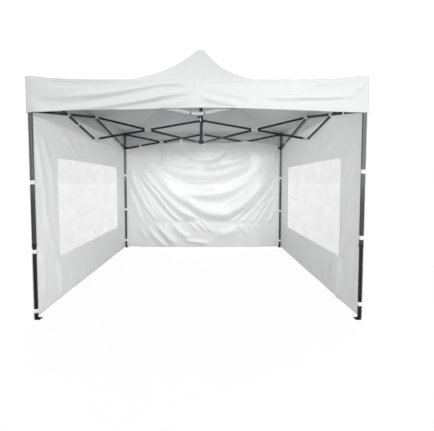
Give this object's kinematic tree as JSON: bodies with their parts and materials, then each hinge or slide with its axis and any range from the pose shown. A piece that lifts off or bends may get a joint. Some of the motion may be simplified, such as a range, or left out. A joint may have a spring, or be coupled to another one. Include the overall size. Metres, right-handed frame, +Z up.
{
  "type": "marquee tent",
  "caption": "Pop-up marquee tent: pitched white canopy with valance, side walls with clear windows, plain back wall and open front on a folding steel frame.",
  "frame": {"origin": "on the ground in the middle of the tent", "axes": "+Z up, -Y out of the open front, +X to the right as seen from the front"},
  "size_m": [2.9382, 2.9382, 3.0004],
  "materials": {
    "frame_grey": "satin grey powder coat",
    "leg_dark": "satin dark grey powder coat",
    "black_plastic": "moulded nylon",
    "white_polyester": "coated woven polyester",
    "clear_pvc": "clear soft PVC film"
  },
  "bodies": {
    "tent": {"upper_leg_front_left": "frame_grey", "top_bracket_front_left": "black_plastic", "slider_front_left": "black_plastic", "upper_leg_front_right": "frame_grey", "top_bracket_front_right": "black_plastic", "slider_front_right": "black_plastic", "upper_leg_back_right": "frame_grey", "top_bracket_back_right": "black_plastic", "slider_back_right": "black_plastic", "upper_leg_back_left": "frame_grey", "top_bracket_back_left": "black_plastic", "slider_back_left": "black_plastic", "upper_mid_front": "black_plastic", "lower_mid_front": "black_plastic", "bar_front_first_high": "frame_grey", "bar_front_first_low": "frame_grey", "bar_front_second_high": "frame_grey", "bar_front_second_low": "frame_grey", "bar_inner_front_upper": "frame_grey", "bar_inner_front_lower": "frame_grey", "upper_mid_right": "black_plastic", "lower_mid_right": "black_plastic", "bar_right_first_high": "frame_grey", "bar_right_first_low": "frame_grey", "bar_right_second_high": "frame_grey", "bar_right_second_low": "frame_grey", "bar_inner_right_upper": "frame_grey", "bar_inner_right_lower": "frame_grey", "upper_mid_back": "black_plastic", "lower_mid_back": "black_plastic", "bar_back_first_high": "frame_grey", "bar_back_first_low": "frame_grey", "bar_back_second_high": "frame_grey", "bar_back_second_low": "frame_grey", "bar_inner_back_upper": "frame_grey", "bar_inner_back_lower": "frame_grey", "upper_mid_left": "black_plastic", "lower_mid_left": "black_plastic", "bar_left_first_high": "frame_grey", "bar_left_first_low": "frame_grey", "bar_left_second_high": "frame_grey", "bar_left_second_low": "frame_grey", "bar_inner_left_upper": "frame_grey", "bar_inner_left_lower": "frame_grey", "hub_upper": "black_plastic", "hub_lower": "black_plastic", "centre_pole": "frame_grey", "peak_cap": "black_plastic", "wall_left": "white_polyester", "wall_right": "white_polyester", "wall_back": "white_polyester", "window_left": "clear_pvc", "window_right": "clear_pvc", "canopy_roof": "white_polyester", "canopy_valance": "white_polyester"},
    "leg_front_left": {"lower_leg_front_left": "leg_dark"},
    "leg_front_right": {"lower_leg_front_right": "leg_dark"},
    "leg_back_right": {"lower_leg_back_right": "leg_dark"},
    "leg_back_left": {"lower_leg_back_left": "leg_dark"}
  },
  "joints": [
    {"name": "leg_slide_front_left", "type": "slide", "parent": "tent", "child": "leg_front_left", "axis": [0, 0, -1], "range_m": [0, 0.2]},
    {"name": "leg_slide_front_right", "type": "slide", "parent": "tent", "child": "leg_front_right", "axis": [0, 0, -1], "range_m": [0, 0.2]},
    {"name": "leg_slide_back_right", "type": "slide", "parent": "tent", "child": "leg_back_right", "axis": [0, 0, -1], "range_m": [0, 0.2]},
    {"name": "leg_slide_back_left", "type": "slide", "parent": "tent", "child": "leg_back_left", "axis": [0, 0, -1], "range_m": [0, 0.2]}
  ]
}
